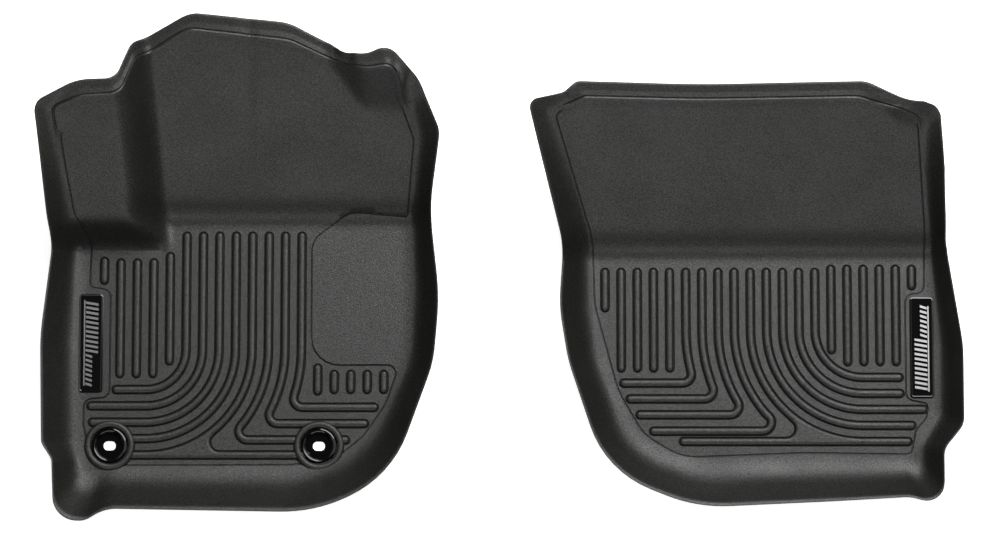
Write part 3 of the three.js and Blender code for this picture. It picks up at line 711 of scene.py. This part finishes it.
SLOT = np.array([(7.6, -5.7, 5.3), (7.6, 5.7, 5.3), (-7.6, 5.7, 5.3), (-7.6, -5.7, 5.3)])
CUP = np.array([(16.4, 2.2), (16.7, 2.8), (17.0, 6.6), (17.4, 7.5), (18.4, 8.2), (19.9, 8.4),
                (21.2, 7.9), (22.0, 6.8), (22.2, 5.6), (22.2, 4.8), (18.0, 4.7), (18.0, 0.9),
                (17.7, 0.6)])
RING = np.array([(18.4, 0.9), (18.7, 0.6), (23.6, 0.6), (24.0, 0.9), (24.0, 1.6), (23.7, 1.9),
                 (18.7, 1.9), (18.4, 1.6)])


def cup(centre):
    """Rings from the slot's outline out over the seat, up and over the flange, and back below."""
    slot = rounded_loop(SLOT, [7, 5, 7, 5], 6)
    spoke = circle((0, 0), 1, len(slot))
    order = np.argsort(np.arctan2(slot[:, 1], slot[:, 0]) % (2 * np.pi))
    slot = slot[order]
    flat = [(slot, 0.6), (slot * 0.985, 0.9), (slot * 0.985, 1.9), (slot, 2.2),
            (0.5 * (slot + spoke * 16.4), 2.2)]
    rounds = [(spoke * radius, z) for radius, z in CUP]
    rings = [np.column_stack([xy + centre, np.full(len(slot), z)]) for xy, z in flat + rounds]
    return np.concatenate(rings), grid_triangles(len(rings), len(slot), loop=True)


nylon, tree = new_finish("smooth_black_nylon")
place = add_node(tree, "TexCoord", {}).outputs["Object"]
ripple = add_node(tree, "TexNoise", {"Vector": place, "Scale": 1 / 0.004, "Detail": 2.0})
wear = add_node(tree, "MapRange", {"Value": ripple.outputs["Fac"], "To Min": 0.07, "To Max": 0.11})
dent = add_node(tree, "Bump", {"Height": ripple.outputs["Fac"], "Strength": 0.1,
                               "Distance": 0.0002})
surface = add_node(tree, "BsdfPrincipled", {
    "Base Color": linear("080808"), "Roughness": wear.outputs[0], "IOR": 1.53,
    "Specular IOR Level": 0.3, "Normal": dent.outputs[0]})
add_node(tree, "OutputMaterial", {"Surface": surface.outputs[0]})

for side, centre in ANCHORS.items():
    make_piece(f"{side}_cup", [cup(np.array(centre))], "driver_liner", nylon,
               [f"{side}_grommet_cup"])
    make_piece(f"{side}_ring", [turned(RING, np.array(centre))], "driver_liner", nylon,
               [f"{side}_grommet_lock_ring"])

# ---- Badges --------------------------------------------------------------------------------------
# A glossy black ABS plate is bonded beside the wall of each liner, with a motif of silver foil
# hot-stamped on it: a long rule, and leaning bars that stand tall along the first part of it.

PLATE = {"width": 30.0, "radius": 4.4, "bottom": 4.8, "top": 6.4}
BADGES = {"driver": ((-509.7, -80.5), 124.0, 1), "passenger": ((525.5, -86.0), 127.0, -1)}


def plate(centre, length):
    """A rounded rectangle with a rounded upper edge and a shallow flat field in a low frame."""
    half = np.array([PLATE["width"], length]) / 2
    signs = np.array([(1, -1), (1, 1), (-1, 1), (-1, -1)])
    bottom, top = PLATE["bottom"], PLATE["top"]
    sections = [(0.4, bottom), (0, bottom + 0.3), (0, top - 0.7), (0.25, top - 0.2), (0.8, top),
                (1.5, top), (1.9, top - 0.25), (2.4, top - 0.3), (3.0, top - 0.3)]
    rings = []
    for shrink, z in sections:
        rows = np.column_stack([signs * (half - shrink) + centre,
                                np.full(4, PLATE["radius"] - shrink * 0.9)])
        outline = rounded_loop(rows, [2] * 4, 6)
        rings.append(np.column_stack([outline, np.full(len(outline), z)]))
    count = len(rings[0])
    middle = np.array([[*centre, bottom], [*centre, top - 0.3]])
    points = np.concatenate([*rings, middle])
    last = (len(rings) - 1) * count
    a, b = np.arange(count), (np.arange(count) + 1) % count
    lid = [np.stack([b, a, np.full(count, last + count)], 1),
           np.stack([a + last, b + last, np.full(count, last + count + 1)], 1)]
    return points, np.concatenate([grid_triangles(len(rings), count), *lid])


def emblem(centre, length, side):
    """The rule, and bars at an even step that lean and shorten part of the way along."""
    start, step, foot = -0.44 * length, 6.0, -0.3 * PLATE["width"]
    bars = int(0.88 * length / step)
    shapes = [np.array([(foot, start), (foot + 1.6, start), (foot + 1.6, start + bars * step),
                        (foot, start + bars * step)])]
    for k in range(bars):
        near = start + (k + 0.5) * step - 1.5
        tall = foot + (0.6 if k < 0.6 * bars else 0.36) * PLATE["width"]
        shapes.append(np.array([(foot + 2.4, near + 0.3), (tall, near + 3), (tall, near + 6),
                                (foot + 2.4, near + 3.3)]))
    bottom, top = PLATE["top"] - 0.35, PLATE["top"] - 0.05
    return [prism(np.array(centre) + shape * (side, -side), bottom, top) for shape in shapes]


gloss, tree = new_finish("gloss_black_abs")
place = add_node(tree, "TexCoord", {}).outputs["Object"]
haze = add_node(tree, "TexNoise", {"Vector": place, "Scale": 1 / 0.009, "Detail": 3.0})
rub = add_node(tree, "MapRange", {"Value": haze.outputs["Fac"], "To Min": 0.03, "To Max": 0.06})
surface = add_node(tree, "BsdfPrincipled", {
    "Base Color": linear("0b0b0b"), "Roughness": rub.outputs[0], "IOR": 1.54})
add_node(tree, "OutputMaterial", {"Surface": surface.outputs[0]})

foil, tree = new_finish("hot_stamped_silver_foil")
place = add_node(tree, "TexCoord", {}).outputs["Object"]
crinkle = add_node(tree, "TexNoise", {"Vector": place, "Scale": 1 / 0.0012, "Detail": 2.0})
press = add_node(tree, "Bump", {"Height": crinkle.outputs["Fac"], "Strength": 0.15,
                                "Distance": 0.0001})
surface = add_node(tree, "BsdfPrincipled", {
    "Base Color": linear("848484"), "Metallic": 1.0, "Roughness": 0.34, "Normal": press.outputs[0]})
add_node(tree, "OutputMaterial", {"Surface": surface.outputs[0]})

for owner, (centre, length, side) in BADGES.items():
    body = f"{owner}_liner"
    make_piece(f"{owner}_plate", [plate(np.array(centre), length)], body, gloss,
               [f"{owner}_badge_plate"])
    make_piece(f"{owner}_emblem", emblem(centre, length, side), body, foil,
               [f"{owner}_badge_emblem"])

# ---- Floor, lights and camera --------------------------------------------------------------------
# A pale floor lies 0.5 mm under the liners. One broad soft box above and beyond them gives most of
# the light, one at each side and one on the near side fill, and the view is from almost overhead.

floor_finish, tree = new_finish("pale_floor")
surface = add_node(tree, "BsdfPrincipled", {
    "Base Color": linear("f4f4f4"), "Roughness": 0.9, "Emission Color": linear("ffffff"),
    "Emission Strength": 0.75})
add_node(tree, "OutputMaterial", {"Surface": surface.outputs[0]})
floor_mesh = bpy.data.meshes.new("floor")
floor_mesh.from_pydata([(-6, -6, -0.0005), (6, -6, -0.0005), (6, 6, -0.0005), (-6, 6, -0.0005)], [],
                       [(0, 1, 2, 3)])
floor_mesh.materials.append(floor_finish)
floor_piece = bpy.data.objects.new("floor", floor_mesh)
bpy.context.scene.collection.objects.link(floor_piece)


def soft_box(name, place, size, watts):
    """A rectangular area light, turned towards the middle of the floor."""
    light = bpy.data.lights.new(name, "AREA")
    light.shape = "RECTANGLE"
    light.size, light.size_y = size
    light.energy = watts
    lamp = bpy.data.objects.new(name, light)
    lamp.location = place
    lamp.rotation_euler = (Vector((0, 0, 0)) - Vector(place)).to_track_quat("-Z", "Y").to_euler()
    bpy.context.scene.collection.objects.link(lamp)


soft_box("far_box", (0.7, 1.6, 2.7), (2.2, 1.7), 142)
soft_box("left_box", (-1.8, 0.3, 2.8), (2.4, 0.9), 14)
soft_box("right_box", (1.8, 0.3, 2.8), (2.4, 0.9), 10)
soft_box("near_box", (0.0, -2.8, 2.2), (3.4, 0.8), 46)

world = bpy.data.worlds.new("studio")
world.use_nodes = True
world.node_tree.nodes["Background"].inputs["Color"].default_value = (1, 1, 1, 1)
world.node_tree.nodes["Background"].inputs["Strength"].default_value = 0.02
bpy.context.scene.world = world
bpy.context.scene.view_settings.view_transform = "Standard"

lens = bpy.data.cameras.new("camera")
lens.lens = 201.6
lens.sensor_width = 36
camera = bpy.data.objects.new("camera", lens)
camera.location = (0, -1.2005, 6.8937)
camera.rotation_euler = (np.radians(10), 0, 0)
bpy.context.scene.collection.objects.link(camera)
bpy.context.scene.camera = camera

bpy.context.view_layer.update()
